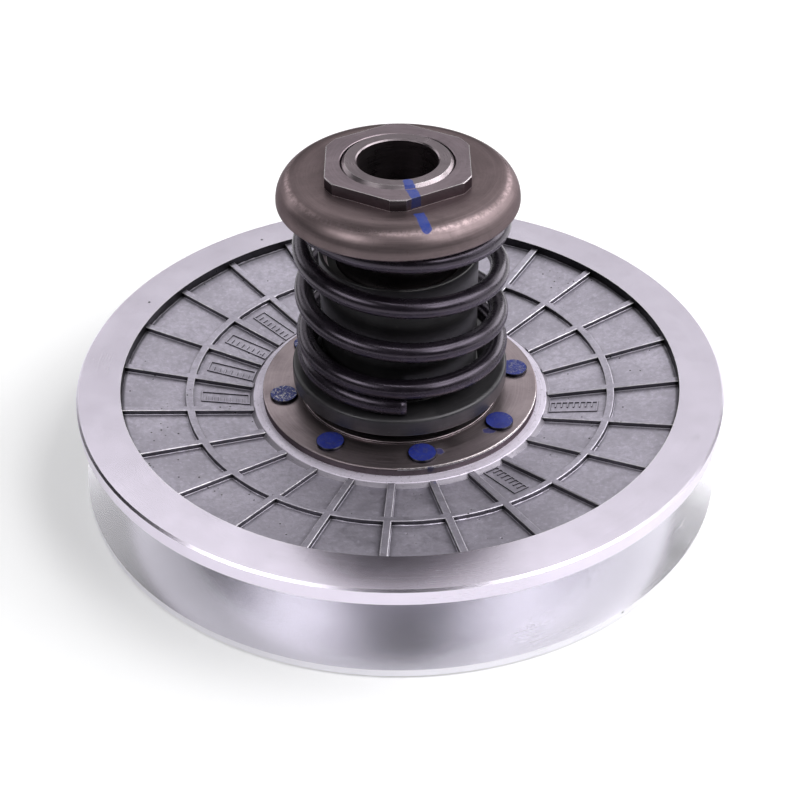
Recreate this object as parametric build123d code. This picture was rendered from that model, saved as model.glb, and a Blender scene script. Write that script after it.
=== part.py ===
from build123d import *
import os
from math import cos, degrees, radians, sin, sqrt, tan

# Driven pulley assembly of a belt-type continuously variable transmission.
# Millimetres, +Z up along the shaft. The fixed sheave lies on the plane z = 0,
# the sliding sheave is above it, and the shaft's threaded end points up.

# ---- Sheaves: both castings share one form, measured from their ribbed back plane
sheave_radius = 106.0
groove_half_angle = 15.0
hub_face_radius = 57.4
fixed_rim_band = 3.13
sliding_rim_band = 5.31
closed_gap = 0.3
rim_edge_chamfer = 0.7
rim_land_width = 14.25
web_recess = 3.2
rib_crest_drop = 1.55
web_slope = 9.2
recess_corner_radius = 0.4
hub_ring_radius = 48.7
hub_ring_depth = 8.68
hub_ring_ramp = 1.5

# ---- Cast ribs on both backs
rib_count = 24
rib_angle = 11.67
rib_width = 2.4
ring_rib_radius = 69.9
ring_rib_width = 2.5
rib_edge_radius = 0.35
rib_foot_radius = 0.3
rib_end_overlap = 1.0

# ---- Plain raised tick frames, cast in some inner cells of the sliding sheave's web
tick_frame_cells = (8, 9, 10, 11, 19, 22)
tick_frame_radius = 58.1
tick_frame_length = 16.0
tick_frame_width = 5.4
tick_frame_height = 0.35
tick_line = 0.45
tick_rows = 8
tick_reach = 0.5
tick_offset = 0.2

# ---- Riveted steel flanges
flange_radius = 45.6
flange_thickness = 2.8
flange_edge_radius = 0.5
bead_radius = 32.6
bead_width = 1.0
bead_height = 0.8
rivet_count = 8
rivet_circle_radius = 38.9
rivet_angle = 10.1
rivet_shank_radius = 3.0
rivet_head_radius = 4.5
rivet_head_height = 1.0
rivet_head_bevel = 0.2
rivet_recess_depth = 2.6
rivet_recess_clearance = 0.3

# ---- Driven shaft
shaft_radius = 19.5
shaft_bottom = 1.0
shaft_collar_radius = 22.0
collar_inset = 0.5
thread_radius = 17.5
thread_end_chamfer = 1.3
shaft_end_proud = 0.55
pilot_bore_radius = 12.5
pilot_bore_length = 24.0
pilot_bore_chamfer = 0.4
spline_root_radius = 12.1
spline_crest_radius = 11.1
spline_teeth = 21
spline_groove_width = 1.7
lower_bore_radius = 13.2
lower_bore_length = 18.0
lower_bore_chamfer = 1.3

# ---- Torque cam: pins fixed in the shaft run in helical slots of the sliding hub
pin_count = 4
pin_angle = 20.0
pin_radius = 4.4
pin_height = 59.5
pin_seat_radius = 14.2
pin_end_clearance = 0.1
pin_end_chamfer = 0.4
sheave_travel = 20.0
cam_angle = 45.0
slot_side_clearance = 0.4
slot_end_clearance = 0.4
slot_cut_margin = 1.0

# ---- Sliding hub, its bushes and seals
hub_bore_radius = 21.0
hub_outer_radius = 23.9
hub_root_radius = 26.0
hub_top = 78.5
hub_bottom_inset = 0.5
running_clearance = 0.05
press_clearance = 0.02
lower_bush_length = 12.0
upper_bush_length = 9.0
bush_to_seal = 0.3
seal_radius = 22.6
seal_length = 3.6
seal_inset = 0.4
seal_case_wall = 1.1
seal_web = 0.9
seal_lip_wall = 0.8
seal_lip_length = 2.9
o_ring_section = 1.6
o_ring_groove_width = 2.0
lower_o_ring_rise = 2.4
upper_o_ring_drop = 5.5

# ---- Lower spring seat: a sleeve over the cam, with a flange that carries the spring
sleeve_wall = 1.2
sleeve_top = 81.6
sleeve_clearance = 0.1
sleeve_foot_gap = 0.1
seat_thickness = 1.8
seat_radius = 35.2
seat_top = 39.6
seat_rim_height = 5.7
seat_bend_radius = 1.2

# ---- Upper spring seat: a domed cap clamped on the shaft's shoulder
cap_top = 108.35
cap_radius = 37.6
cap_height = 8.85
cap_wall = 2.2
cap_edge_radius = 8.0
cap_inner_radius = 3.1
cap_rim_radius = 0.6
cap_hole_clearance = 0.1

# ---- Lock nut
nut_across_flats = 44.0
nut_height = 3.8
nut_corner_radius = 24.1
nut_edge_break = 0.2

# ---- Compression spring: left-handed, with closed end coils
wire_radius = 3.1
spring_outer_radius = 34.25
spring_offset = 0.85
spring_start_angle = -88.0
closed_turns = 1.107
blend_turns = 0.12
active_turns = 2.534
closed_coil_gap = 0.05
spring_seat_gap = 0.05

# ---- Worked-out sizes
groove_rise = (sheave_radius - hub_face_radius) * tan(radians(groove_half_angle))
rim_inner_radius = sheave_radius - rim_land_width
fixed_hub_face = fixed_rim_band + groove_rise
sliding_hub_face = fixed_hub_face + closed_gap
sliding_back = sliding_hub_face + groove_rise + sliding_rim_band
sliding_flange_bottom = sliding_back - hub_ring_depth
sliding_flange_top = sliding_flange_bottom + flange_thickness
fixed_flange_bottom = hub_ring_depth - flange_thickness
hub_bottom = sliding_hub_face + hub_bottom_inset
cap_underside = cap_top - cap_wall
shaft_top = cap_top + nut_height + shaft_end_proud
sleeve_inner_radius = hub_outer_radius + sleeve_clearance
sleeve_outer_radius = sleeve_inner_radius + sleeve_wall
seal_depth = seal_inset + seal_length
hub_wall_radius = (hub_bore_radius + hub_outer_radius) / 2
cam_turn = degrees(sheave_travel / tan(radians(cam_angle)) / hub_wall_radius)


def solid_ring(outer, inner, bottom, top):
    """A plain ring on the Z axis between two heights."""
    height = top - bottom
    ring = Cylinder(outer, height) - Cylinder(inner, height)
    return Pos(0, 0, (bottom + top) / 2) * ring


def turned(points, *rounds):
    """Revolve a closed outline of (radius, height) points, after rounding (radius, corner) pairs."""
    section = make_face(Polyline(*points, close=True))
    for radius, (x, y) in rounds:
        nearest = min(section.vertices(), key=lambda v: (v.X - x) ** 2 + (v.Y - y) ** 2)
        section = fillet(nearest, radius)
    return revolve(Plane.XZ * section, Axis.Z)


def around(shape, count, start):
    """Copies of a shape, evenly spaced about the Z axis."""
    return [Rot(0, 0, start + 360 * i / count) * shape for i in range(count)]


def web_floor(radius):
    """Height of the web's floor at a radius, with the back plane at zero."""
    return -web_recess - (rim_inner_radius - radius) * tan(radians(web_slope))


def rib_section(width):
    """Section across a cast rib: a round-edged crest and a flared foot, standing on y = 0."""
    height = (web_recess - rib_crest_drop) * cos(radians(web_slope))
    foot = width / 2 + rib_foot_radius
    section = make_face(Polyline(
        (-foot, -rib_foot_radius), (foot, -rib_foot_radius), (foot, 0), (width / 2, 0),
        (width / 2, height), (-width / 2, height), (-width / 2, 0), (-foot, 0), close=True,
    ))
    crest = [v for v in section.vertices() if v.Y > height / 2]
    section = fillet(crest, rib_edge_radius)
    root = [v for v in section.vertices() if abs(v.Y) < 1e-6 and abs(v.X) < foot - 1e-6]
    return fillet(root, 0.95 * rib_foot_radius)


def floor_plane(radius):
    """A plane on the web's floor along +X, its Z normal to the floor and its X running outwards."""
    tilt = radians(web_slope)
    return Plane(
        origin=(radius, 0, web_floor(radius)),
        x_dir=(cos(tilt), 0, sin(tilt)),
        z_dir=(-sin(tilt), 0, cos(tilt)),
    )


def radial_rib():
    """One rib from the hub ring to the rim's wall."""
    inner = hub_ring_radius + hub_ring_ramp / 2
    run = (rim_inner_radius + rib_end_overlap - inner) / cos(radians(web_slope))
    floor = floor_plane(inner)
    across = Plane(origin=floor.origin, x_dir=(0, 1, 0), z_dir=floor.x_dir)
    return extrude(across * rib_section(rib_width), run)


def ring_rib():
    """The rib that runs round the web."""
    place = Pos(ring_rib_radius, web_floor(ring_rib_radius)) * Rot(0, 0, web_slope)
    return revolve(Plane.XZ * (place * rib_section(ring_rib_width)), Axis.Z)


def tick_frame():
    """A raised rectangular frame with plain cross ticks, lying on the web's floor along +X."""
    inside = (tick_frame_length - 2 * tick_line, tick_frame_width - 2 * tick_line)
    frame = Rectangle(tick_frame_length, tick_frame_width) - Rectangle(*inside)
    for row in range(1, tick_rows):
        x = tick_frame_length * (row / tick_rows - 0.5)
        frame += Pos(x, tick_frame_width * tick_offset) * Rectangle(tick_line, tick_frame_width * tick_reach)
    raised = extrude(floor_plane(tick_frame_radius) * frame, tick_frame_height)
    return raised + extrude(floor_plane(tick_frame_radius) * frame, -tick_frame_height)


def casting(rim_band, bore_radius, first_rib, first_rivet, frame_cells=()):
    """A cast sheave with its ribbed back on the plane z = 0 and its groove face below."""
    face = -rim_band - groove_rise
    ramp_foot = hub_ring_radius + hub_ring_ramp
    body = turned(
        [
            (bore_radius, face),
            (hub_face_radius, face),
            (sheave_radius, -rim_band),
            (sheave_radius, -rim_edge_chamfer),
            (sheave_radius - rim_edge_chamfer, 0),
            (rim_inner_radius, 0),
            (rim_inner_radius, -web_recess),
            (ramp_foot, web_floor(ramp_foot)),
            (hub_ring_radius, -hub_ring_depth),
            (bore_radius, -hub_ring_depth),
        ],
        (recess_corner_radius, (rim_inner_radius, -web_recess)),
        (recess_corner_radius, (ramp_foot, web_floor(ramp_foot))),
    )
    body += around(radial_rib(), rib_count, first_rib)
    body += ring_rib()
    cell = 360 / rib_count
    body += [Rot(0, 0, first_rib + cell * (i + 0.5)) * tick_frame() for i in frame_cells]
    depth = -face
    hole = Pos(rivet_circle_radius, 0, -depth / 2) * Cylinder(rivet_shank_radius + press_clearance, depth)
    head_recess = Pos(rivet_circle_radius, 0, face + rivet_recess_depth / 2) * Cylinder(
        rivet_head_radius + rivet_recess_clearance, rivet_recess_depth
    )
    body -= around(hole + head_recess, rivet_count, first_rivet)
    return body


def rivet(shop_face, tail_face):
    """A solid rivet on +X: its shop head sits above shop_face and its tail head below tail_face."""
    top = shop_face + rivet_head_height
    bottom = tail_face - rivet_head_height
    edge = rivet_head_radius - rivet_head_bevel
    return Pos(rivet_circle_radius, 0, 0) * turned([
        (0, bottom), (edge, bottom), (rivet_head_radius, bottom + rivet_head_bevel),
        (rivet_head_radius, tail_face), (rivet_shank_radius, tail_face),
        (rivet_shank_radius, shop_face), (rivet_head_radius, shop_face),
        (rivet_head_radius, top - rivet_head_bevel), (edge, top), (0, top),
    ])


def rivet_holes(bottom, top):
    """The flange's ring of rivet holes between two heights."""
    hole = Cylinder(rivet_shank_radius + press_clearance, top - bottom)
    return around(Pos(rivet_circle_radius, 0, (bottom + top) / 2) * hole, rivet_count, rivet_angle)


def fixed_sheave():
    bore = shaft_collar_radius + press_clearance
    return Rot(180, 0, 0) * casting(fixed_rim_band, bore, -rib_angle, -rivet_angle)


def sliding_sheave():
    bore = hub_root_radius + press_clearance
    return Pos(0, 0, sliding_back) * casting(sliding_rim_band, bore, rib_angle, rivet_angle, tick_frame_cells)


def driven_shaft():
    """The hollow steel shaft, riveted to the fixed sheave by its flange."""
    collar_top = fixed_hub_face - collar_inset
    shaft = turned(
        [
            (0, shaft_bottom), (shaft_collar_radius, shaft_bottom),
            (shaft_collar_radius, fixed_flange_bottom), (flange_radius, fixed_flange_bottom),
            (flange_radius, hub_ring_depth), (shaft_collar_radius, hub_ring_depth),
            (shaft_collar_radius, collar_top), (shaft_radius, collar_top),
            (shaft_radius, cap_underside), (thread_radius, cap_underside),
            (thread_radius, shaft_top - thread_end_chamfer),
            (thread_radius - thread_end_chamfer, shaft_top), (0, shaft_top),
        ],
        (flange_edge_radius, (flange_radius, fixed_flange_bottom)),
    )
    pilot_bottom = shaft_top - pilot_bore_length
    lower_top = shaft_bottom + lower_bore_length
    shaft -= turned([
        (0, shaft_bottom), (lower_bore_radius + lower_bore_chamfer, shaft_bottom),
        (lower_bore_radius, shaft_bottom + lower_bore_chamfer), (lower_bore_radius, lower_top),
        (spline_crest_radius, lower_top), (spline_crest_radius, pilot_bottom),
        (pilot_bore_radius, pilot_bottom), (pilot_bore_radius, shaft_top - pilot_bore_chamfer),
        (pilot_bore_radius + pilot_bore_chamfer, shaft_top), (0, shaft_top),
    ])
    groove = Pos(spline_root_radius / 2, 0, (lower_top + pilot_bottom) / 2) * Box(
        spline_root_radius, spline_groove_width, pilot_bottom - lower_top
    )
    shaft -= around(groove, spline_teeth, 0)
    seat_length = shaft_radius + slot_cut_margin - pin_seat_radius
    pin_seat = Pos(pin_seat_radius + seat_length / 2, 0, pin_height) * Rot(0, 90, 0) * Cylinder(
        pin_radius + press_clearance, seat_length
    )
    shaft -= around(pin_seat, pin_count, pin_angle)
    shaft -= rivet_holes(fixed_flange_bottom, hub_ring_depth)
    return shaft


def guide_pin():
    """One cam pin on +X, from its seat in the shaft to just inside the hub's outer face."""
    end = sqrt(hub_outer_radius ** 2 - pin_radius ** 2) - pin_end_clearance
    start = pin_seat_radius + press_clearance
    pin = Cylinder(pin_radius, end - start)
    pin = chamfer(pin.edges().filter_by(GeomType.CIRCLE), pin_end_chamfer)
    return Pos((start + end) / 2, 0, pin_height) * Rot(0, 90, 0) * pin


def cam_slot():
    """Cutter for one helical slot, with a guide pin on +X at the slot's upper end."""
    half_width = pin_radius + slot_side_clearance
    reach = hub_outer_radius - hub_bore_radius + 2 * slot_cut_margin
    margin = degrees(slot_end_clearance * cos(radians(cam_angle)) / hub_wall_radius)
    turn = cam_turn + 2 * margin
    rise = sheave_travel * turn / cam_turn
    bottom = pin_height - (sheave_travel + rise) / 2
    path = Helix(pitch=rise * 360 / turn, height=rise, radius=hub_wall_radius)
    section = Plane(origin=path @ 0, x_dir=(1, 0, 0), z_dir=path % 0) * Rectangle(reach, 2 * half_width)
    slot = sweep(section, path=path, is_frenet=True)
    end = Pos(hub_wall_radius, 0, 0) * Rot(0, 90, 0) * Cylinder(half_width, reach)
    slot = slot + end + Pos(0, 0, rise) * Rot(0, 0, turn) * end
    return Pos(0, 0, bottom) * Rot(0, 0, margin - turn) * slot


def sliding_hub():
    """The steel hub riveted to the sliding sheave, with cam slots in its tube."""
    bead_outer = bead_radius + bead_width / 2
    bead_inner = bead_radius - bead_width / 2
    bead_top = sliding_flange_top + bead_height
    hub = turned(
        [
            (hub_bore_radius, hub_bottom), (hub_root_radius, hub_bottom),
            (hub_root_radius, sliding_flange_bottom), (flange_radius, sliding_flange_bottom),
            (flange_radius, sliding_flange_top), (bead_outer, sliding_flange_top),
            (bead_outer, bead_top), (bead_inner, bead_top), (bead_inner, sliding_flange_top),
            (hub_outer_radius, sliding_flange_top), (hub_outer_radius, hub_top), (hub_bore_radius, hub_top),
        ],
        (flange_edge_radius, (flange_radius, sliding_flange_top)),
        (bead_width / 3, (bead_outer, bead_top)),
        (bead_width / 3, (bead_inner, bead_top)),
    )
    seal_seat = seal_radius + press_clearance
    hub -= solid_ring(seal_seat, hub_bore_radius - 1, hub_bottom, hub_bottom + seal_depth)
    hub -= solid_ring(seal_seat, hub_bore_radius - 1, hub_top - seal_depth, hub_top)
    for height in o_ring_heights():
        groove_bottom = height - o_ring_groove_width / 2
        floor = hub_outer_radius - o_ring_section
        hub -= solid_ring(hub_outer_radius + 1, floor, groove_bottom, groove_bottom + o_ring_groove_width)
    hub -= around(cam_slot(), pin_count, pin_angle)
    hub -= rivet_holes(sliding_flange_bottom, sliding_flange_top)
    return hub


def o_ring_heights():
    return sliding_flange_top + lower_o_ring_rise, hub_top - upper_o_ring_drop


def o_ring(height):
    section = o_ring_section / 2
    return Pos(0, 0, height) * Torus(hub_outer_radius + running_clearance - section, section)


def bush(bottom, length):
    return solid_ring(hub_bore_radius - press_clearance, shaft_radius + running_clearance, bottom, bottom + length)


def lower_bush():
    return bush(hub_bottom + seal_depth + bush_to_seal, lower_bush_length)


def upper_bush():
    return bush(hub_top - seal_depth - bush_to_seal - upper_bush_length, upper_bush_length)


def oil_seal():
    """A lipped shaft seal with its closed face on z = 0 and its lip pointing down."""
    lip = shaft_radius + running_clearance
    case = seal_radius - seal_case_wall
    return turned([
        (seal_radius, 0), (seal_radius, -seal_length), (case, -seal_length), (case, -seal_web),
        (lip + 1.5 * seal_lip_wall, -seal_web), (lip + seal_lip_wall, -seal_lip_length),
        (lip, seal_lip_wall / 2 - seal_lip_length), (lip + seal_lip_wall / 2, 0),
    ])


def upper_oil_seal():
    return Pos(0, 0, hub_top - seal_inset) * oil_seal()


def lower_oil_seal():
    return Pos(0, 0, hub_bottom + seal_inset) * Rot(180, 0, 0) * oil_seal()


def lower_spring_seat():
    """The sleeve that covers the cam, with the pressed flange under the spring."""
    foot = sliding_flange_top + sleeve_foot_gap
    rim_bottom = seat_top - seat_rim_height
    rim_inner = seat_radius - seat_thickness
    underside = seat_top - seat_thickness
    return turned(
        [
            (sleeve_inner_radius, foot), (sleeve_outer_radius, foot), (sleeve_outer_radius, underside),
            (rim_inner, underside), (rim_inner, rim_bottom), (seat_radius, rim_bottom),
            (seat_radius, seat_top), (sleeve_outer_radius, seat_top),
            (sleeve_outer_radius, sleeve_top), (sleeve_inner_radius, sleeve_top),
        ],
        (seat_bend_radius, (seat_radius, seat_top)),
        (sleeve_wall / 3, (sleeve_outer_radius, sleeve_top)),
        (sleeve_wall / 3, (sleeve_inner_radius, sleeve_top)),
        (sleeve_wall / 2, (sleeve_outer_radius, seat_top)),
    )


def upper_spring_seat():
    rim = cap_top - cap_height
    inner = cap_radius - cap_wall
    hole = thread_radius + cap_hole_clearance
    return turned(
        [
            (hole, cap_underside), (inner, cap_underside), (inner, rim),
            (cap_radius, rim), (cap_radius, cap_top), (hole, cap_top),
        ],
        (cap_edge_radius, (cap_radius, cap_top)),
        (cap_inner_radius, (inner, cap_underside)),
        (cap_rim_radius, (cap_radius, rim)),
        (cap_rim_radius, (inner, rim)),
    )


def lock_nut():
    """A thin hexagon nut with truncated corners, its flats facing plus and minus X."""
    hexagon = Rot(0, 0, 30) * RegularPolygon(nut_across_flats / 2, 6, major_radius=False)
    nut = extrude(hexagon, nut_height)
    bore = thread_radius + running_clearance
    nut &= turned([
        (bore, 0), (nut_corner_radius, 0), (nut_corner_radius, nut_height - nut_edge_break),
        (nut_corner_radius - nut_edge_break, nut_height),
        (bore + nut_edge_break, nut_height), (bore, nut_height - nut_edge_break),
    ])
    return Pos(0, 0, cap_top) * nut


def compression_spring():
    """The round-wire spring between the two seats, wound upwards in the clockwise sense."""
    coil_radius = spring_outer_radius - wire_radius
    bottom = seat_top + spring_seat_gap + wire_radius
    top = cap_underside - spring_seat_gap - wire_radius
    closed_pitch = 2 * wire_radius + closed_coil_gap
    fixed_rise = closed_pitch * (2 * closed_turns + 2 * blend_turns)
    active_pitch = (top - bottom - fixed_rise) / (active_turns + 2 * blend_turns)
    step = (active_pitch - closed_pitch) / 3
    blend = [(closed_pitch + step, blend_turns), (closed_pitch + 2 * step, blend_turns)]
    stretches = [(closed_pitch, closed_turns), *blend, (active_pitch, active_turns)]
    stretches += [*reversed(blend), (closed_pitch, closed_turns)]
    wire = []
    height, angle = bottom, spring_start_angle
    for pitch, turns in stretches:
        path = Helix(pitch=pitch, height=pitch * turns, radius=coil_radius, lefthand=True)
        section = Pos(coil_radius, 0, 0) * (Plane.XZ * Circle(wire_radius))
        stretch = sweep(section, path=path, is_frenet=True)
        wire.append(Pos(spring_offset, 0, height) * Rot(0, 0, angle) * stretch)
        height += pitch * turns
        angle -= 360 * turns
    return wire[0] + wire[1:]


pieces = {
    "fixed_sheave": fixed_sheave(),
    "driven_shaft": driven_shaft(),
    "fixed_sheave_rivets": Compound(
        around(
            Rot(180, 0, 0) * rivet(-fixed_flange_bottom, rivet_recess_depth - fixed_hub_face),
            rivet_count, rivet_angle,
        )
    ),
    "sliding_sheave": sliding_sheave(),
    "sliding_hub": sliding_hub(),
    "sliding_sheave_rivets": Compound(
        around(rivet(sliding_flange_top, sliding_hub_face + rivet_recess_depth), rivet_count, rivet_angle)
    ),
    "lower_bush": lower_bush(),
    "upper_bush": upper_bush(),
    "lower_oil_seal": lower_oil_seal(),
    "upper_oil_seal": upper_oil_seal(),
    "lower_o_ring": o_ring(o_ring_heights()[0]),
    "upper_o_ring": o_ring(o_ring_heights()[1]),
    "lower_spring_seat": lower_spring_seat(),
    "compression_spring": compression_spring(),
    "upper_spring_seat": upper_spring_seat(),
    "lock_nut": lock_nut(),
}
for number, pin in enumerate(around(guide_pin(), pin_count, pin_angle), start=1):
    pieces[f"guide_pin_{number}"] = pin

os.makedirs("parts", exist_ok=True)
for name, shape in pieces.items():
    export_step(shape, f"parts/{name}.step")
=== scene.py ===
"""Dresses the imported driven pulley: finishes, the wound spring, paint marks, studio and camera."""

import math

import bpy
import numpy as np
from mathutils import Matrix, Vector


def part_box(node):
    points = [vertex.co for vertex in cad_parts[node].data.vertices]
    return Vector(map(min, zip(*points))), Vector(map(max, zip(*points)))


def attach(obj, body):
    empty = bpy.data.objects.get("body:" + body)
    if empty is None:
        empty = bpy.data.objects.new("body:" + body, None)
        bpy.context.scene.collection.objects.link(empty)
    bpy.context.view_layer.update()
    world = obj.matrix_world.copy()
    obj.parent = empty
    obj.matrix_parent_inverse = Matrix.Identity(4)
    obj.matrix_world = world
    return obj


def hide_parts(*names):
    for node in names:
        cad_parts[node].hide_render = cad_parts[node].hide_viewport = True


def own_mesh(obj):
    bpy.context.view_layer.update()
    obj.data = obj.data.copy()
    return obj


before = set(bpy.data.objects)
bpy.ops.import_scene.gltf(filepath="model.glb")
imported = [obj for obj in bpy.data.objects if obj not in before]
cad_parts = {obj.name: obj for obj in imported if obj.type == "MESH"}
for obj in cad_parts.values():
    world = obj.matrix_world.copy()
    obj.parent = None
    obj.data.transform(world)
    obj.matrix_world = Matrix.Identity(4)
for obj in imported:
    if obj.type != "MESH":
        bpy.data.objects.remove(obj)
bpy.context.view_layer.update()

MM = 0.001

# ---- Places read from the frame
SHEAVE_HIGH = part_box("sliding_sheave")[1]
SHEAVE_RADIUS = SHEAVE_HIGH.x
BACK_PLANE = SHEAVE_HIGH.z
CAP_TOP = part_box("upper_spring_seat")[1].z
RIVET_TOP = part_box("sliding_sheave_rivets")[1].z
SPRING_LOW, SPRING_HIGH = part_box("compression_spring")

# ---- Zones of the castings; every depth is measured from the sheave's ribbed back
RIM_LAND_WIDTH = 14.25 * MM
RIM_INNER_RADIUS = SHEAVE_RADIUS - RIM_LAND_WIDTH
WEB_RECESS = 3.2 * MM
WEB_SLOPE = math.tan(math.radians(9.2))
HUB_RING_RADIUS = 48.7 * MM
HUB_RING_RAMP = 1.5 * MM
HUB_RING_DEPTH = 8.68 * MM
ROUND_RIB_RADIUS = 69.9 * MM
GROOVE_DEPTH = 5.5 * MM
SURFACE_MARGIN = 0.02 * MM
LAND_MARGIN = 0.1 * MM
FLOOR_MARGIN = 0.3 * MM
RING_MARGIN = 1.0 * MM
MACHINED_SLOT, CAST_SLOT, RING_SLOT = 0, 1, 2

# ---- How much light the castings' sheltered faces keep
WALL_SHADE = 0.16
CORNER_SHADE = 0.35
CORNER_REACH = 1.8 * MM
RIM_FOOT_SHADE = 0.35
RAMP_SHADE = 0.34

# ---- Zones of the steel pieces
# the cap's shoulder, where a ring of painted highlight lies
CAP_SHOULDER_RADIUS = 34.0 * MM
SLEEVE_SHADE_END = 27.0 * MM
SEAT_SHADE_END = 30.0 * MM
# radii beyond which the steel edges get a painted highlight
SHAFT_GLINT_FROM = 15.0 * MM
NUT_GLINT_FROM = 20.0 * MM

# ---- Colours
ALUMINIUM_TINT = (1.0, 0.925, 1.075)
GROOVE_TINT = (0.992, 0.975, 1.033)
CAST_TINT = (0.985, 0.925, 1.08)
STEEL_SPECULAR = (0.5, 0.46, 0.48, 1.0)
ENAMEL_SPECULAR = (0.90, 0.78, 0.98, 1.0)
PAINT_BLUE = (0.016, 0.050, 0.30, 1.0)
SMEAR_BLUE = (0.010, 0.016, 0.11, 1.0)

# ---- Paint: a stripe from the shaft's end over the nut to the cap, and daubs beside the rivets
STRIPE_START = (2.4 * MM, -12.3 * MM)
STRIPE_END = (8.5 * MM, -33.8 * MM)
STRIPE_WIDTH = 3.5 * MM
STRIPE_BLUR = 0.35 * MM
STRIPE_WANDER = 1.2 * MM
STRIPE_INNER_RADIUS = 12.7 * MM
STRIPE_GAP_RADIUS = 17.6 * MM
STRIPE_GAP = 1.0 * MM
STRIPE_FOOT_RADIUS = 25.7 * MM
STRIPE_BELOW_CAP = 4.0 * MM
STRIPE_ABOVE_CAP = 0.5 * MM
SMEAR_HEIGHT = 3.0 * MM
SMEARS = (  # centre, then half widths along X and Y, in mm
    ((28.3, -26.6, 28.9), (2.4, 1.6)),
    ((12.3, -36.8, 28.9), (1.7, 1.8)),
    ((9.8, -45.0, 28.7), (1.7, 0.9)),
    ((12.1, -52.1, 25.2), (0.5, 1.2)),
    ((10.6, -49.4, 25.6), (0.6, 0.7)),
)

# ---- The wound spring; its turns are counted from the lower end
WIRE_RADIUS = 3.1 * MM
SPRING_TURNS = 5.228
CLOSED_TURNS = 1.227
EASE_TURNS = 0.34
CLOSED_GAP = 0.05 * MM
SPRING_START = math.radians(-88.0)
STEPS_PER_TURN = 96
WIRE_SIDES = 28

# ---- Studio
SURROUND_COLOUR = (0.95, 0.96, 1.0, 1.0)
SURROUND_STRENGTH = 0.02
FLOOR_SIZE = 6.0
FLOOR_DROP = 0.0002
FLOOR_GLOW = 0.2
BOX_DISTANCE = 1.4
BOX_TARGET = (0.0, 0.0, 0.05)
SOFTBOXES = (  # name, azimuth and elevation in degrees, size in metres, radiance
    ("back_box", 90, 32, (1.5, 0.35), 0.85),
    ("back_high_box", 90, 48, (1.3, 0.4), 1.15),
    ("back_left_low_box", 138, 18, (0.9, 0.5), 1.8),
    ("back_left_high_box", 138, 42, (0.8, 0.5), 0.45),
    ("back_right_box", 42, 18, (0.9, 0.5), 3.9),
    ("right_low_box", 0, 15, (0.9, 0.5), 1.3),
    ("right_box", 0, 38, (0.9, 0.5), 4.7),
    ("right_high_box", 0, 62, (0.8, 0.45), 4.4),
    ("front_left_box", 212, 40, (0.5, 0.5), 3.7),
    ("front_left_near_box", 232, 40, (0.5, 0.5), 2.2),
    ("front_right_box", 320, 40, (0.5, 0.5), 5.6),
    ("front_right_high_box", 310, 62, (0.5, 0.5), 1.1),
    ("overhead_box", 270, 73, (0.4, 0.16), 6.0),
)

# ---- Camera
SENSOR_WIDTH = 36.0
FOCAL_LENGTH = 72.0
CAMERA_PLACE = (0.0, -0.4295, 0.3453)
CAMERA_PITCH = math.radians(37.01)
CAMERA_ROLL = math.radians(-0.55)


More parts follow.
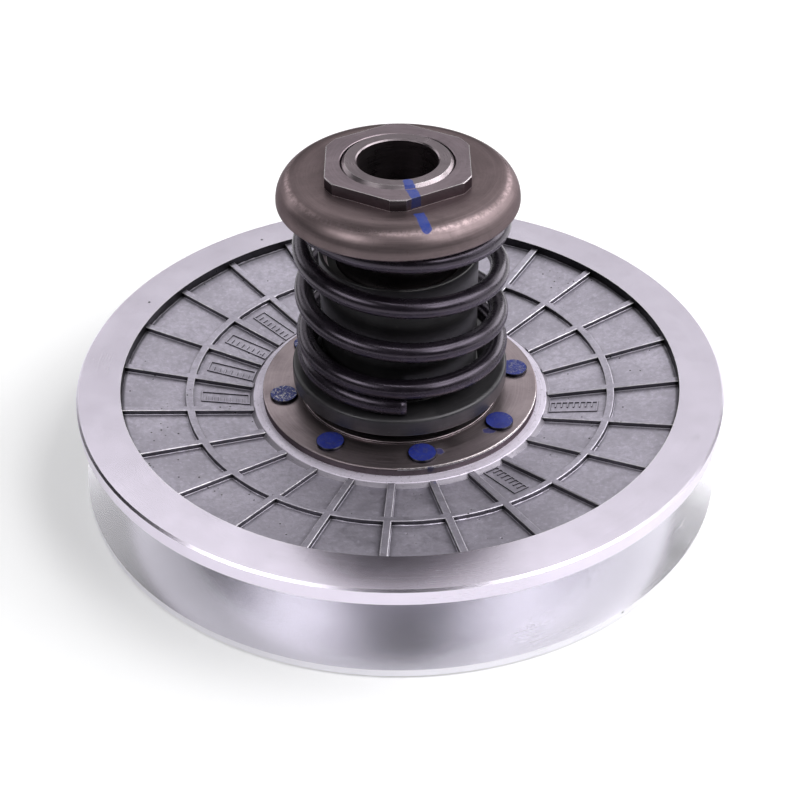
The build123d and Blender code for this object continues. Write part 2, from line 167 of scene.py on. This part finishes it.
# ============================================================ node helpers
class Graph:
    """A small wrapper that builds one material's node tree."""

    def __init__(self, name):
        self.material = bpy.data.materials.new(name)
        self.material.use_nodes = True
        self.tree = self.material.node_tree
        self.shader = self.tree.nodes["Principled BSDF"]
        self._place = None

    def node(self, kind, **settings):
        made = self.tree.nodes.new(kind)
        for key, value in settings.items():
            setattr(made, key, value)
        return made

    def feed(self, socket, value):
        if isinstance(value, bpy.types.NodeSocket):
            self.tree.links.new(value, socket)
        else:
            socket.default_value = value

    def math(self, operation, a, b=0.0):
        made = self.node("ShaderNodeMath", operation=operation)
        for socket, value in zip(made.inputs, (a, b)):
            self.feed(socket, value)
        return made.outputs[0]

    def fold(self, operation, values):
        total, *others = values
        for value in others:
            total = self.math(operation, total, value)
        return total

    def plus(self, *terms):
        return self.fold("ADD", terms)

    def minus(self, a, b):
        return self.math("SUBTRACT", a, b)

    def times(self, *factors):
        return self.fold("MULTIPLY", factors)

    def highest(self, *values):
        return self.fold("MAXIMUM", values)

    def away(self, value, from_value):
        """How far value is from from_value, on either side."""
        return self.math("ABSOLUTE", self.minus(value, from_value))

    def over(self, value, limit):
        return self.math("GREATER_THAN", value, limit)

    def under(self, value, limit):
        return self.math("LESS_THAN", value, limit)

    def place(self):
        """The surface point in the row frame: its vector socket, then its x, y and z, in metres."""
        if self._place is None:
            point = self.node("ShaderNodeTexCoord").outputs["Object"]
            split = self.node("ShaderNodeSeparateXYZ")
            self.feed(split.inputs[0], point)
            self._place = (point, *split.outputs)
        return self._place

    def radius(self):
        _, x, y, _ = self.place()
        return self.math("SQRT", self.plus(self.times(x, x), self.times(y, y)))

    def up(self):
        """The Z part of the surface's normal in the object's own axes."""
        split = self.node("ShaderNodeSeparateXYZ")
        self.feed(split.inputs[0], self.node("ShaderNodeTexCoord").outputs["Normal"])
        return split.outputs[2]

    def noise(self, scale, detail=3.0, roughness=0.55, where=None, distortion=0.0):
        made = self.node("ShaderNodeTexNoise")
        self.feed(made.inputs["Vector"], where if where is not None else self.place()[0])
        self.feed(made.inputs["Scale"], scale)
        self.feed(made.inputs["Detail"], detail)
        self.feed(made.inputs["Roughness"], roughness)
        self.feed(made.inputs["Distortion"], distortion)
        return made.outputs["Fac"]

    def lathe_noise(self, pitch, detail, drift):
        """Noise drawn out round the Z axis, as a lathe tool leaves it; pitch in metres."""
        _, x, y, z = self.place()
        where = self.node("ShaderNodeCombineXYZ")
        self.feed(where.inputs[0], self.math("DIVIDE", self.radius(), pitch))
        self.feed(where.inputs[1], self.times(self.math("ARCTAN2", y, x), drift))
        self.feed(where.inputs[2], self.math("DIVIDE", z, pitch))
        return self.noise(1.0, detail, where=where.outputs[0])

    def cells(self, scale):
        """The distance from scattered points, for pits and pores."""
        made = self.node("ShaderNodeTexVoronoi", feature="F1")
        self.feed(made.inputs["Vector"], self.place()[0])
        self.feed(made.inputs["Scale"], scale)
        self.feed(made.inputs["Randomness"], 1.0)
        return made.outputs["Distance"]

    def span(self, value, low, high, to_low=0.0, to_high=1.0, smooth=False):
        """Maps value from low..high to to_low..to_high, clamped."""
        made = self.node("ShaderNodeMapRange", clamp=True)
        if smooth:
            made.interpolation_type = "SMOOTHSTEP"
        for socket, number in zip(made.inputs, (value, low, high, to_low, to_high)):
            self.feed(socket, number)
        return made.outputs[0]

    def mix(self, factor, a, b, blend="MIX"):
        made = self.node("ShaderNodeMix", data_type="RGBA", blend_type=blend)
        self.feed(made.inputs["Factor"], factor)
        self.feed(made.inputs[6], a)
        self.feed(made.inputs[7], b)
        return made.outputs[2]

    def spots(self, colour, pattern, low, high, amount, tone):
        """Lays tone over colour, by up to amount, as the pattern goes from low to high."""
        return self.mix(self.span(pattern, low, high, 0.0, amount), colour, tone)

    def shade(self, colour, light):
        return self.mix(1.0, colour, light, "MULTIPLY")

    def bump(self, height, distance, strength):
        made = self.node("ShaderNodeBump")
        self.feed(made.inputs["Height"], height)
        self.feed(made.inputs["Distance"], distance)
        self.feed(made.inputs["Strength"], strength)
        return made.outputs[0]

    def edges(self, radius):
        """Nonzero near sharp edges: how far the bevelled normal leans from the true one."""
        bevel = self.node("ShaderNodeBevel", samples=6)
        self.feed(bevel.inputs["Radius"], radius)
        dot = self.node("ShaderNodeVectorMath", operation="DOT_PRODUCT")
        self.feed(dot.inputs[0], bevel.outputs[0])
        self.feed(dot.inputs[1], self.node("ShaderNodeNewGeometry").outputs["True Normal"])
        return self.minus(1.0, dot.outputs["Value"])

    def corners(self, reach):
        """1 in the open, less in the corners at the foot of the ribs."""
        hidden = self.node("ShaderNodeAmbientOcclusion", samples=6, only_local=True)
        self.feed(hidden.inputs["Distance"], reach)
        return hidden.outputs["AO"]

    def finish(self, colour, roughness, metallic, normal=None, **fixed):
        """Feeds the shader; fixed holds constant inputs, with _ for a space in their names."""
        self.feed(self.shader.inputs["Base Color"], colour)
        self.feed(self.shader.inputs["Roughness"], roughness)
        self.feed(self.shader.inputs["Metallic"], metallic)
        if normal is not None:
            self.feed(self.shader.inputs["Normal"], normal)
        for name, value in fixed.items():
            self.shader.inputs[name.replace("_", " ")].default_value = value
        return self.material


def grey(value, tint=(1.0, 1.0, 1.0)):
    return (value * tint[0], value * tint[1], value * tint[2], 1.0)


# ============================================================ paint masks
def stripe_mask(g):
    """1 inside the painted witness stripe across the shaft's end, the nut and the cap."""
    _, x, y, z = g.place()
    start, end = Vector(STRIPE_START), Vector(STRIPE_END)
    along = (end - start).normalized()
    length = (end - start).length
    half = STRIPE_WIDTH / 2
    dx, dy = g.minus(x, start.x), g.minus(y, start.y)
    run = g.plus(g.times(dx, along.x), g.times(dy, along.y))
    side = g.minus(g.times(dx, -along.y), g.times(dy, -along.x))
    wander = g.times(g.minus(g.noise(380.0, 2.0), 0.5), STRIPE_WANDER)
    across = g.plus(side, wander)
    past = g.highest(g.minus(half, run), g.minus(run, length - half), 0.0)
    distance = g.math("SQRT", g.plus(g.times(past, past), g.times(across, across)))
    mask = g.span(distance, half, half - STRIPE_BLUR, smooth=True)
    radius = g.radius()
    outside_bore = g.over(radius, STRIPE_INNER_RADIUS)
    off_gap = g.over(g.away(radius, STRIPE_GAP_RADIUS), STRIPE_GAP / 2)
    on_cap = g.under(z, CAP_TOP + STRIPE_ABOVE_CAP)
    nut_foot = g.times(on_cap, g.under(radius, STRIPE_FOOT_RADIUS))
    above = g.over(z, CAP_TOP - STRIPE_BELOW_CAP)
    return g.times(mask, outside_bore, off_gap, g.minus(1.0, nut_foot), above)


def smear_mask(g):
    """1 inside the small daubs of paint beside the rivets."""
    ragged = g.times(g.minus(g.noise(650.0, 3.0), 0.5), 0.9)
    daubs = []
    for centre, (wide, deep) in SMEARS:
        offset = g.node("ShaderNodeVectorMath", operation="SUBTRACT")
        g.feed(offset.inputs[0], g.place()[0])
        offset.inputs[1].default_value = [value * MM for value in centre]
        scaled = g.node("ShaderNodeVectorMath", operation="MULTIPLY")
        g.feed(scaled.inputs[0], offset.outputs[0])
        scaled.inputs[1].default_value = (1 / (wide * MM), 1 / (deep * MM), 1 / SMEAR_HEIGHT)
        length = g.node("ShaderNodeVectorMath", operation="LENGTH")
        g.feed(length.inputs[0], scaled.outputs[0])
        daubs.append(g.span(g.plus(length.outputs["Value"], ragged), 1.0, 0.75))
    return g.highest(*daubs)


# ============================================================ materials
def machined_aluminium():
    """Turned aluminium of the rims and groove faces: fine circular lay, faint handling marks, a painted
    highlight on the edges.
    """
    g = Graph("machined_aluminium")
    fine = g.lathe_noise(0.22 * MM, 2.0, 3.0)
    coarse = g.lathe_noise(1.4 * MM, 2.0, 1.2)
    cloud = g.noise(28.0, 4.0, 0.6)
    marks = g.noise(160.0, 5.0, 0.7, distortion=1.5)
    pits = g.times(g.span(g.cells(95.0), 0.055, 0.03), g.over(g.noise(31.0, 1.0), 0.60))
    clouded = g.span(cloud, 0.35, 0.7)
    rim = g.mix(clouded, grey(0.80, ALUMINIUM_TINT), grey(0.73, ALUMINIUM_TINT))
    groove = g.mix(clouded, grey(0.80, GROOVE_TINT), grey(0.75, GROOVE_TINT))
    colour = g.mix(g.under(g.place()[3], BACK_PLANE - GROOVE_DEPTH), rim, groove)
    colour = g.spots(colour, marks, 0.64, 0.76, 0.30, grey(0.46, ALUMINIUM_TINT))
    colour = g.mix(pits, colour, grey(0.05))
    # Painted highlight: edges are lightened.
    colour = g.spots(colour, g.edges(0.35 * MM), 0.03, 0.2, 1.0, grey(0.93))
    rough = g.plus(g.span(cloud, 0.3, 0.75, 0.20, 0.28), g.span(fine, 0.3, 0.7, -0.01, 0.02))
    normal = g.bump(g.plus(fine, g.times(coarse, 0.6)), 0.006 * MM, 0.25)
    tangent = g.node("ShaderNodeTangent", direction_type="RADIAL", axis="Z")
    g.feed(g.shader.inputs["Tangent"], tangent.outputs[0])
    return g.finish(colour, rough, 1.0, normal, Anisotropic=0.65)


def cast_aluminium(name, back_plane, facing):
    """As-cast web: faintly clouded grey skin, fine grain, pores; painted shade on walls and corners,
    painted highlight on rib crests.
    """
    g = Graph(name)
    grain = g.noise(1500.0, 4.0, 0.6)
    fine = g.noise(620.0, 4.0, 0.7, distortion=0.4)
    mottle = g.noise(150.0, 5.0, 0.65, distortion=0.8)
    cloud = g.noise(38.0, 3.0, 0.5)
    streak = g.noise(70.0, 4.0, 0.7, distortion=2.5)
    pore = g.times(g.span(g.cells(400.0), 0.16, 0.08), g.over(g.noise(60.0, 2.0), 0.57))

    colour = g.mix(g.span(cloud, 0.36, 0.64), grey(0.55, CAST_TINT), grey(0.71, CAST_TINT))
    colour = g.spots(colour, mottle, 0.46, 0.66, 0.45, grey(0.46, CAST_TINT))
    colour = g.spots(colour, fine, 0.46, 0.66, 0.5, grey(0.44, CAST_TINT))
    colour = g.spots(colour, fine, 0.44, 0.32, 0.4, grey(0.88, CAST_TINT))
    colour = g.spots(colour, streak, 0.6, 0.72, 0.3, grey(0.84, CAST_TINT))
    colour = g.mix(pore, colour, grey(0.05))

    radius = g.radius()
    level = g.math("ABSOLUTE", g.up())
    # Painted shade: steep walls, the corners at the rib feet and the foot of the rim are darkened.
    colour = g.shade(colour, g.span(level, 0.35, 0.75, WALL_SHADE, 1.0))
    colour = g.shade(colour, g.span(g.corners(CORNER_REACH), 0.35, 0.85, CORNER_SHADE, 1.0))
    foot = (RIM_INNER_RADIUS - 1.3 * MM, RIM_INNER_RADIUS - 0.6 * MM)
    colour = g.shade(colour, g.span(radius, *foot, 1.0, RIM_FOOT_SHADE))

    # Painted highlight: a bright line along the rounded rib crests, weaker on the round rib.
    depth = g.times(g.minus(back_plane, g.place()[3]), facing)
    floor_depth = g.plus(g.times(g.minus(RIM_INNER_RADIUS, radius), WEB_SLOPE), WEB_RECESS)
    crest = g.span(g.minus(floor_depth, depth), 1.0 * MM, 1.3 * MM)
    rounded = g.times(g.span(level, 0.97, 0.94), g.span(level, 0.15, 0.4))
    glint = g.span(mottle, 0.35, 0.6, 0.75, 0.3)
    off_round_rib = g.span(g.away(radius, ROUND_RIB_RADIUS), 1.4 * MM, 1.8 * MM, 0.4, 1.0)
    edge_highlight = g.times(rounded, crest, glint, off_round_rib)
    colour = g.mix(edge_highlight, colour, grey(1.0, (1.0, 0.98, 1.0)))

    smear = smear_mask(g)
    colour = g.mix(g.times(smear, 0.75), colour, SMEAR_BLUE)
    rough = g.minus(g.span(mottle, 0.3, 0.7, 0.42, 0.58), g.times(edge_highlight, 0.15))
    height = g.plus(g.times(grain, 0.5), g.times(mottle, 0.9), g.times(fine, 0.9))
    normal = g.bump(g.minus(height, g.times(pore, 2.0)), 0.09 * MM, 0.8)
    return g.finish(colour, rough, g.minus(0.9, g.times(smear, 0.8)), normal)


def turned_ring():
    """The turned flat round the hub: coarser and duller than the rim, with a darker ramp outside."""
    g = Graph("turned_ring")
    lay = g.lathe_noise(0.45 * MM, 3.0, 3.0)
    cloud = g.noise(90.0, 4.0, 0.6)
    fleck = g.noise(1100.0, 3.0, 0.7)
    colour = g.mix(g.span(cloud, 0.35, 0.7), grey(0.97, ALUMINIUM_TINT), grey(0.84, ALUMINIUM_TINT))
    colour = g.spots(colour, lay, 0.45, 0.75, 0.4, grey(0.5, ALUMINIUM_TINT))
    colour = g.spots(colour, fleck, 0.58, 0.66, 0.45, grey(0.4, ALUMINIUM_TINT))
    ramp = (HUB_RING_RADIUS, HUB_RING_RADIUS + 0.3 * MM)
    colour = g.shade(colour, g.span(g.radius(), *ramp, 1.0, RAMP_SHADE))
    rough = g.span(cloud, 0.3, 0.7, 0.44, 0.56)
    return g.finish(colour, rough, 0.55, g.bump(lay, 0.03 * MM, 0.6))


def turned_steel(
    name, base, tint, rough, pitch, metallic=1.0, edge_glint=0.5, glint_from=0.0, side=1.0,
    paint=None, paint_blue=PAINT_BLUE, glint=None,
):
    """Turned and oiled steel.

    base and tint give its grey, rough the range of its roughness and pitch that of its lay. Edges
    beyond the radius glint_from get a painted highlight of strength edge_glint, upright faces keep the
    share side of their light as painted shade, paint is a mask painted in paint_blue, and glint is
    the radius of a shoulder ring with a painted highlight.
    """
    g = Graph(name)
    lay = g.lathe_noise(pitch, 3.0, 2.0)
    stain = g.noise(60.0, 5.0, 0.65, distortion=0.8)
    speck = g.noise(900.0, 2.0, 0.6)
    colour = g.mix(g.span(stain, 0.35, 0.7), grey(base, tint), grey(base * 0.72, tint))
    colour = g.spots(colour, lay, 0.45, 0.75, 0.35, grey(base * 1.45, tint))
    colour = g.spots(colour, speck, 0.62, 0.72, 0.3, grey(base * 0.45, tint))
    light = g.span(g.math("ABSOLUTE", g.up()), 0.3, 0.6, side, 1.0)
    colour = g.shade(colour, light)
    # Painted highlight: edges are lightened as if they caught light on their small bevels.
    edge_highlight = g.times(g.span(g.edges(0.4 * MM), 0.02, 0.12, 0.0, edge_glint), g.over(g.radius(), glint_from))
    colour = g.mix(edge_highlight, colour, grey(min(1.0, base * 3.4)))
    roughness = g.plus(g.span(stain, 0.3, 0.7, *rough), g.span(lay, 0.3, 0.7, -0.04, 0.04))
    # Painted highlight: a speckled, brighter and less rough ring on the cap's shoulder.
    if glint is not None:
        near = g.span(g.away(g.radius(), glint), 1.1 * MM, 0.3 * MM)
        shoulder_glint = g.times(near, g.span(speck, 0.42, 0.60, 0.25, 1.0), g.over(g.up(), 0.5))
        colour = g.mix(g.times(shoulder_glint, 0.38), colour, grey(base * 2.6, tint))
        roughness = g.minus(roughness, g.times(shoulder_glint, 0.10))
    if paint is not None:
        mask = paint(g)
        cover = g.times(mask, g.span(speck, 0.3, 0.7, 0.95, 0.8))
        colour = g.mix(cover, colour, g.shade(paint_blue, light))
        metallic = g.times(g.minus(1.0, mask), metallic)
    normal = g.bump(g.plus(lay, g.times(speck, 0.4)), 0.02 * MM, 0.6)
    return g.finish(colour, roughness, metallic, normal, Specular_Tint=STEEL_SPECULAR)


def spring_black():
    """Glossy black stoved enamel with a purple cast, thin at a few scuffed spots."""
    g = Graph("spring_black")
    peel = g.noise(240.0, 2.0, 0.5)
    rub = g.noise(150.0, 5.0, 0.8, distortion=1.0)
    dust = g.noise(1300.0, 3.0, 0.7)
    colour = g.mix(g.span(peel, 0.3, 0.7), (0.007, 0.005, 0.008, 1.0), (0.013, 0.010, 0.015, 1.0))
    colour = g.spots(colour, rub, 0.70, 0.78, 0.8, (0.30, 0.28, 0.30, 1.0))
    colour = g.spots(colour, dust, 0.68, 0.76, 0.2, (0.10, 0.09, 0.10, 1.0))
    rough = g.plus(g.span(peel, 0.3, 0.7, 0.24, 0.29), g.span(rub, 0.70, 0.78, 0.0, 0.2))
    normal = g.bump(g.plus(peel, g.times(dust, 0.1)), 0.008 * MM, 0.4)
    return g.finish(colour, rough, 0.1, normal, Specular_Tint=ENAMEL_SPECULAR, Specular_IOR_Level=0.75)


def seat_black():
    """The sleeve and its flange: greasy black steel with dull streaks, painted shade on the sleeve and a
    painted highlight on the edges.
    """
    g = Graph("seat_black")
    lay = g.lathe_noise(0.5 * MM, 3.0, 2.0)
    film = g.noise(45.0, 4.0, 0.6, distortion=1.2)
    speck = g.noise(900.0, 3.0, 0.65)
    colour = g.mix(g.span(film, 0.3, 0.7), (0.042, 0.040, 0.045, 1.0), (0.078, 0.074, 0.080, 1.0))
    colour = g.spots(colour, lay, 0.5, 0.75, 0.3, (0.11, 0.11, 0.115, 1.0))
    colour = g.spots(colour, speck, 0.66, 0.74, 0.5, grey(0.16))
    # Painted shade: the sleeve inside the spring is darkened.
    colour = g.shade(colour, g.span(g.radius(), SLEEVE_SHADE_END, SEAT_SHADE_END, 0.5, 1.0))
    # Painted highlight: edges are lightened.
    colour = g.spots(colour, g.edges(0.3 * MM), 0.03, 0.2, 0.6, (0.42, 0.41, 0.41, 1.0))
    rough = g.span(film, 0.3, 0.7, 0.30, 0.46)
    normal = g.bump(g.plus(lay, g.times(speck, 0.5)), 0.02 * MM, 0.6)
    return g.finish(colour, rough, 0.55, normal)


def rivet_paint():
    """Dark steel rivet heads with blue marking paint on their tops, scratched at the far left and right."""
    g = Graph("rivet_paint")
    _, x, _, z = g.place()
    daub = g.noise(260.0, 3.0, 0.6)
    scrape = g.noise(520.0, 4.0, 0.8, distortion=2.2)
    worn_left = g.span(x, -26.0 * MM, -30.0 * MM)
    worn_right = g.span(x, 33.0 * MM, 36.0 * MM, 0.25, 0.6)
    bare = g.times(g.span(scrape, 0.53, 0.57), g.highest(worn_left, worn_right))
    flat = g.span(g.up(), 0.75, 0.95)
    top = g.span(g.plus(z, g.times(daub, 0.5 * MM)), RIVET_TOP - 0.35 * MM, RIVET_TOP)
    cover = g.times(flat, top, g.minus(1.0, bare))
    steel = g.mix(g.span(daub, 0.3, 0.7), grey(0.035, (0.95, 0.92, 1.15)), grey(0.018, (0.9, 0.92, 1.5)))
    steel = g.mix(g.times(bare, flat), steel, grey(0.62, (1.0, 0.97, 1.02)))
    blue = g.mix(g.span(daub, 0.35, 0.7), (0.014, 0.022, 0.19, 1.0), (0.026, 0.042, 0.28, 1.0))
    rough = g.span(daub, 0.3, 0.7, 0.30, 0.42)
    metal = g.minus(1.0, g.times(cover, 0.95))
    normal = g.bump(g.plus(daub, g.times(cover, 0.4)), 0.05 * MM, 0.6)
    return g.finish(g.mix(cover, steel, blue), rough, metal, normal)


def bronze():
    """Sintered bronze bush, slightly uneven and oil-stained."""
    g = Graph("bush_bronze")
    grain = g.noise(1200.0, 3.0, 0.6)
    stain = g.noise(150.0, 4.0, 0.6)
    colour = g.mix(g.span(stain, 0.3, 0.7), (0.42, 0.25, 0.10, 1.0), (0.28, 0.16, 0.07, 1.0))
    rough = g.span(stain, 0.3, 0.7, 0.32, 0.48)
    return g.finish(colour, rough, 1.0, g.bump(grain, 0.02 * MM, 0.5))


def rubber():
    """Black nitrile rubber with a faint moulding grain."""
    g = Graph("seal_rubber")
    grain = g.noise(1500.0, 3.0, 0.6)
    film = g.noise(120.0, 3.0, 0.6)
    colour = g.mix(g.span(film, 0.3, 0.7), (0.018, 0.018, 0.019, 1.0), (0.035, 0.034, 0.034, 1.0))
    rough = g.span(film, 0.3, 0.7, 0.42, 0.62)
    return g.finish(colour, rough, 0.0, g.bump(grain, 0.03 * MM, 0.5))


# ============================================================ dressing the CAD nodes
def dress(node, *materials):
    """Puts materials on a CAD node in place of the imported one."""
    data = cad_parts[node].data
    data.materials.clear()
    for material in materials:
        data.materials.append(material)
    return data


def dress_casting(node, machined, cast, ring, back_plane, facing):
    """Machined rim and groove, a turned ring round the hub; the ribbed recess stays as cast."""
    data = dress(node, machined, cast, ring)
    for face in data.polygons:
        centre = face.center
        radius = math.hypot(centre.x, centre.y)
        depth = (back_plane - centre.z) * facing
        floor_depth = WEB_RECESS + (RIM_INNER_RADIUS - radius) * WEB_SLOPE
        in_recess = radius < RIM_INNER_RADIUS + SURFACE_MARGIN and depth < floor_depth + FLOOR_MARGIN
        on_land = depth < SURFACE_MARGIN and radius > RIM_INNER_RADIUS - LAND_MARGIN
        on_ring = radius < HUB_RING_RADIUS + HUB_RING_RAMP and depth > HUB_RING_DEPTH - RING_MARGIN
        if on_land or not in_recess:
            face.material_index = MACHINED_SLOT
        else:
            face.material_index = RING_SLOT if on_ring else CAST_SLOT


# ============================================================ spring
def opening(turn):
    """0 in the closed end coils of the spring and 1 in its working coils."""
    lower = (turn - CLOSED_TURNS + EASE_TURNS / 2) / EASE_TURNS
    upper = (SPRING_TURNS - CLOSED_TURNS + EASE_TURNS / 2 - turn) / EASE_TURNS
    share = max(0.0, min(1.0, lower, upper))
    return share * share * (3 - 2 * share)


def wire_heights(bottom, top):
    """The turns from the spring's lower end, and the height of the wire's centre at each."""
    steps = int(SPRING_TURNS * STEPS_PER_TURN)
    turns = np.linspace(0.0, SPRING_TURNS, steps + 1)
    weight = np.array([opening(turn) for turn in turns])
    opened = np.concatenate([[0.0], np.cumsum((weight[1:] + weight[:-1]) / 2 * SPRING_TURNS / steps)])
    closed_rise = 2 * WIRE_RADIUS + CLOSED_GAP
    spare = top - bottom - closed_rise * SPRING_TURNS
    return turns, bottom + closed_rise * turns + opened * (spare / opened[-1])


def wound_spring(name):
    """The spring as one smooth wire: closed end coils that open gently into the working coils."""
    coil = (SPRING_HIGH.x - SPRING_LOW.x) / 2 - WIRE_RADIUS
    axis = Vector(((SPRING_HIGH.x + SPRING_LOW.x) / 2, 0.0, 0.0))
    turns, heights = wire_heights(SPRING_LOW.z + WIRE_RADIUS, SPRING_HIGH.z - WIRE_RADIUS)
    slopes = np.gradient(heights, turns)
    last = len(turns) - 1

    verts, faces = [], []
    for turn, height, slope in zip(turns, heights, slopes):
        angle = SPRING_START - 2 * math.pi * turn
        outward = Vector((math.cos(angle), math.sin(angle), 0.0))
        centre = axis + outward * coil + Vector((0, 0, height))
        run = Vector((math.sin(angle), -math.cos(angle), slope / (2 * math.pi * coil))).normalized()
        across = outward.cross(run).normalized()
        for side in range(WIRE_SIDES):
            p = 2 * math.pi * side / WIRE_SIDES
            verts.append(centre + WIRE_RADIUS * (outward * math.cos(p) + across * math.sin(p)))
    for low in range(0, last * WIRE_SIDES, WIRE_SIDES):
        high = low + WIRE_SIDES
        for side in range(WIRE_SIDES):
            after = (side + 1) % WIRE_SIDES
            faces.append((low + side, low + after, high + after, high + side))
    faces.append(tuple(range(WIRE_SIDES))[::-1])
    faces.append(tuple(last * WIRE_SIDES + side for side in range(WIRE_SIDES)))

    mesh = bpy.data.meshes.new(name)
    mesh.from_pydata([tuple(v) for v in verts], [], faces)
    mesh.validate()
    for face in mesh.polygons:
        face.use_smooth = len(face.vertices) == 4
    made = bpy.data.objects.new(name, mesh)
    bpy.context.scene.collection.objects.link(made)
    return made


# ============================================================ stage
def softbox(name, azimuth, elevation, size, radiance):
    """An area light turned to the part; azimuth 90 is behind the part and 270 the camera's side."""
    az, el = math.radians(azimuth), math.radians(elevation)
    out = Vector((math.cos(el) * math.cos(az), math.cos(el) * math.sin(az), math.sin(el)))
    light = bpy.data.lights.new(name, "AREA")
    light.shape = "RECTANGLE"
    light.size, light.size_y = size
    light.energy = math.pi * size[0] * size[1] * radiance
    made = bpy.data.objects.new(name, light)
    bpy.context.scene.collection.objects.link(made)
    made.location = Vector(BOX_TARGET) + out * BOX_DISTANCE
    made.rotation_mode = "QUATERNION"
    made.rotation_quaternion = (-out).to_track_quat("-Z", "Y")


def studio():
    """White floor, a nearly dark surround and a ring of soft boxes."""
    world = bpy.data.worlds.new("studio_surround")
    bpy.context.scene.world = world
    bpy.context.scene.view_settings.view_transform = "Standard"
    world.use_nodes = True
    background = world.node_tree.nodes["Background"]
    background.inputs["Color"].default_value = SURROUND_COLOUR
    background.inputs["Strength"].default_value = SURROUND_STRENGTH

    bpy.ops.mesh.primitive_plane_add(size=FLOOR_SIZE, location=(0, 0, -FLOOR_DROP))
    floor = bpy.context.object
    floor.name = "studio_floor"
    g = Graph("studio_floor")
    colour = g.mix(g.noise(3.0, 2.0), (0.93, 0.93, 0.94, 1.0), (0.95, 0.95, 0.955, 1.0))
    floor.data.materials.append(
        g.finish(colour, 0.75, 0.0, Emission_Color=grey(1.0), Emission_Strength=FLOOR_GLOW)
    )

    for box in SOFTBOXES:
        softbox(*box)


def camera():
    """The camera stands in front of the part and looks down at it, rolled by half a degree."""
    data = bpy.data.cameras.new("view_camera")
    data.sensor_width = SENSOR_WIDTH
    data.lens = FOCAL_LENGTH
    made = bpy.data.objects.new("view_camera", data)
    bpy.context.scene.collection.objects.link(made)
    forward = Vector((0.0, math.cos(CAMERA_PITCH), -math.sin(CAMERA_PITCH)))
    right = Vector((1.0, 0.0, 0.0))
    up = right.cross(forward)
    rolled_right = right * math.cos(CAMERA_ROLL) + up * math.sin(CAMERA_ROLL)
    rolled_up = up * math.cos(CAMERA_ROLL) - right * math.sin(CAMERA_ROLL)
    turn = Matrix((rolled_right, rolled_up, -forward)).transposed()
    made.matrix_world = Matrix.Translation(CAMERA_PLACE) @ turn.to_4x4()
    bpy.context.scene.camera = made


# ============================================================ build
studio()
camera()

machined = machined_aluminium()
ring = turned_ring()
upper_cast = cast_aluminium("cast_aluminium_upper", BACK_PLANE, 1.0)
lower_cast = cast_aluminium("cast_aluminium_lower", 0.0, -1.0)
dress_casting("sliding_sheave", machined, upper_cast, ring, BACK_PLANE, 1.0)
dress_casting("fixed_sheave", machined, lower_cast, ring, 0.0, -1.0)

shaft_steel = turned_steel(
    "shaft_steel", 0.28, (1.08, 0.93, 1.0), rough=(0.26, 0.38), pitch=0.3 * MM,
    glint_from=SHAFT_GLINT_FROM, paint=stripe_mask,
)
flange_steel = turned_steel(
    "flange_steel", 0.39, (1.107, 0.92, 0.975), rough=(0.34, 0.48), pitch=0.6 * MM,
    edge_glint=0.8, side=0.25, paint=smear_mask, paint_blue=SMEAR_BLUE,
)
cap_steel = turned_steel(
    "cap_steel", 0.20, (1.165, 0.90, 0.934), rough=(0.36, 0.46), pitch=0.45 * MM, metallic=0.85,
    edge_glint=0.25, glint_from=NUT_GLINT_FROM, side=0.7, paint=stripe_mask, glint=CAP_SHOULDER_RADIUS,
)
nut_steel = turned_steel(
    "nut_steel", 0.31, (1.096, 0.905, 1.0), rough=(0.32, 0.44), pitch=0.5 * MM,
    edge_glint=0.95, glint_from=NUT_GLINT_FROM, side=0.3, paint=stripe_mask,
)
plain_steel = turned_steel("plain_steel", 0.42, (1.0, 0.98, 0.97), rough=(0.22, 0.34), pitch=0.3 * MM)

dress("driven_shaft", shaft_steel)
dress("sliding_hub", flange_steel)
dress("upper_spring_seat", cap_steel)
dress("lock_nut", nut_steel)
dress("lower_spring_seat", seat_black())
dress("sliding_sheave_rivets", rivet_paint())
dress("fixed_sheave_rivets", plain_steel)
for pin in range(1, 5):
    dress(f"guide_pin_{pin}", plain_steel)
bush_finish = bronze()
rubber_finish = rubber()
for end in ("lower", "upper"):
    dress(f"{end}_bush", bush_finish)
    dress(f"{end}_oil_seal", rubber_finish)
    dress(f"{end}_o_ring", rubber_finish)

spring = wound_spring("wound_spring")
spring.data.materials.append(spring_black())
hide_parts("compression_spring")
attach(spring, "fixed_half")
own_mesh(spring)
